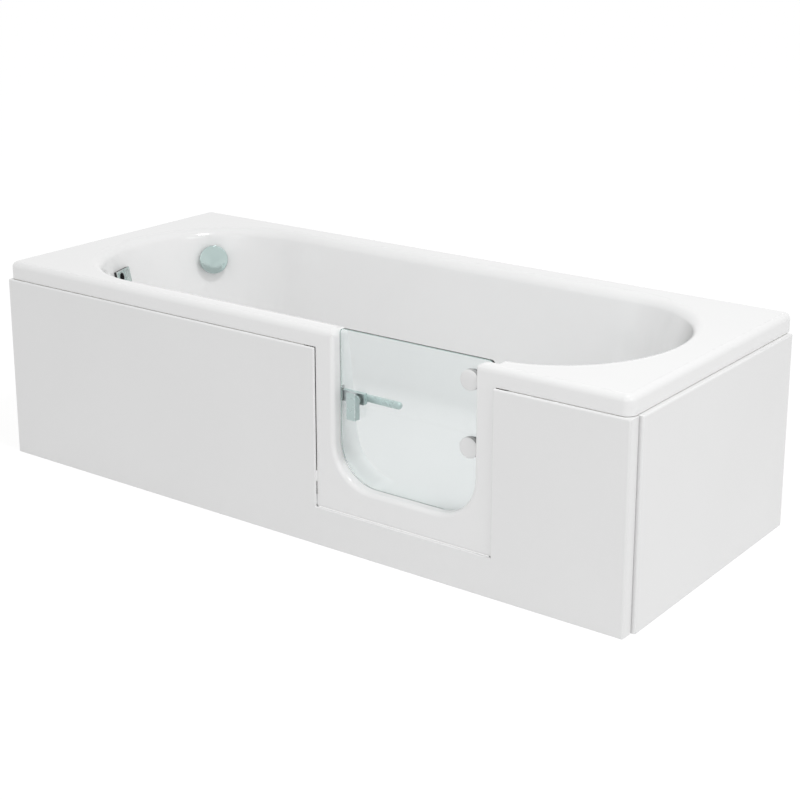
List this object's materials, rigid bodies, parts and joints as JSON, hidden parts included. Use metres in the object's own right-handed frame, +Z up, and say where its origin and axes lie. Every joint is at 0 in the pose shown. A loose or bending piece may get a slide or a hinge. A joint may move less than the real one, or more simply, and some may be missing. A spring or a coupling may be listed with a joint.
{
  "type": "walk in bathtub with door",
  "caption": "Straight acrylic bath with an inward-opening glass door in its front, rack latch, pop-up waste with overflow knob, clip-on panels and levelling cradle.",
  "frame": {"origin": "centre of the overall footprint at floor level", "axes": "+X along the bath from the waste end to the backrest end, +Y from the front panel to the wall, +Z up"},
  "size_m": [1.6864, 0.707, 0.477],
  "materials": {
    "acrylic": "gloss white sanitary acrylic, glass-fibre backed underneath",
    "panel_plastic": "gloss white moulded panel",
    "softwood": "sawn softwood",
    "chipboard": "raw chipboard",
    "zinc_steel": "zinc-plated",
    "black_plastic": "satin black",
    "white_plastic": "satin white",
    "door_glass": "clear toughened, green at the edges",
    "seal_rubber": "soft translucent grey",
    "gasket_rubber": "soft black",
    "cap_plastic": "gloss white",
    "stainless": "satin",
    "satin_alloy": "satin",
    "chrome": "polished"
  },
  "bodies": {
    "bath": {"bath_shell": "acrylic", "rim_battens": "softwood", "base_board": "chipboard", "cradle_rails": "zinc_steel", "rail_screws": "zinc_steel", "levelling_studs": "zinc_steel", "levelling_nuts": "zinc_steel", "feet": "black_plastic", "front_panel": "panel_plastic", "end_panel": "panel_plastic", "floor_battens": "softwood", "panel_clips": "zinc_steel", "door_seal": "seal_rubber", "hinge_brackets": "stainless", "hinge_pins": "stainless", "bracket_screws": "zinc_steel", "keeper_plate": "stainless", "keeper_screws": "stainless", "overflow_ring": "chrome", "overflow_elbow": "black_plastic", "overflow_nut": "black_plastic", "overflow_pipe": "white_plastic", "pipe_bend": "black_plastic", "slot_cover": "chrome", "slot_hose_tail": "black_plastic", "waste_flange": "stainless", "waste_nut": "black_plastic", "waste_body": "white_plastic", "trap_body": "white_plastic", "trap_cap": "black_plastic"},
    "door": {"door_glass": "door_glass", "hinge_caps": "cap_plastic", "hinge_gaskets": "gasket_rubber", "hinge_bolts": "stainless", "hinge_leaves": "stainless", "glass_bush": "white_plastic", "lever_rose": "satin_alloy", "latch_plate": "stainless", "latch_case": "satin_alloy"},
    "latch": {"outer_lever": "satin_alloy", "latch_spindle": "stainless", "latch_pinion": "stainless", "inner_handle": "satin_alloy"},
    "bolt": {"latch_bolt": "stainless"},
    "knob": {"overflow_knob": "chrome"},
    "plug": {"waste_plug": "chrome"}
  },
  "joints": [
    {"name": "door_hinge", "type": "hinge", "parent": "bath", "child": "door", "pos_m": [0.52275, -0.3015, 0.3625], "axis": [0, 0, -1], "range_deg": [0, 90]},
    {"name": "latch_turn", "type": "hinge", "parent": "door", "child": "latch", "pos_m": [0.18225, -0.3107, 0.33], "axis": [0, -1, 0], "range_deg": [0, 90]},
    {"name": "bolt_slide", "type": "slide", "parent": "door", "child": "bolt", "axis": [-1, 0, 0], "range_m": [0, 0.0101]},
    {"name": "knob_turn", "type": "hinge", "parent": "bath", "child": "knob", "pos_m": [-0.67722, 0.17958, 0.4], "axis": [0.7624, -0.6237, 0.1723], "range_deg": [0, 120]},
    {"name": "plug_lift", "type": "slide", "parent": "bath", "child": "plug", "axis": [0, 0, 1], "range_m": [0, 0.0101]}
  ],
  "couplings": [
    {"joint": "bolt_slide", "follows": "latch_turn", "m_per_rad": 0.0064},
    {"joint": "plug_lift", "follows": "knob_turn", "m_per_rad": 0.0047746}
  ]
}
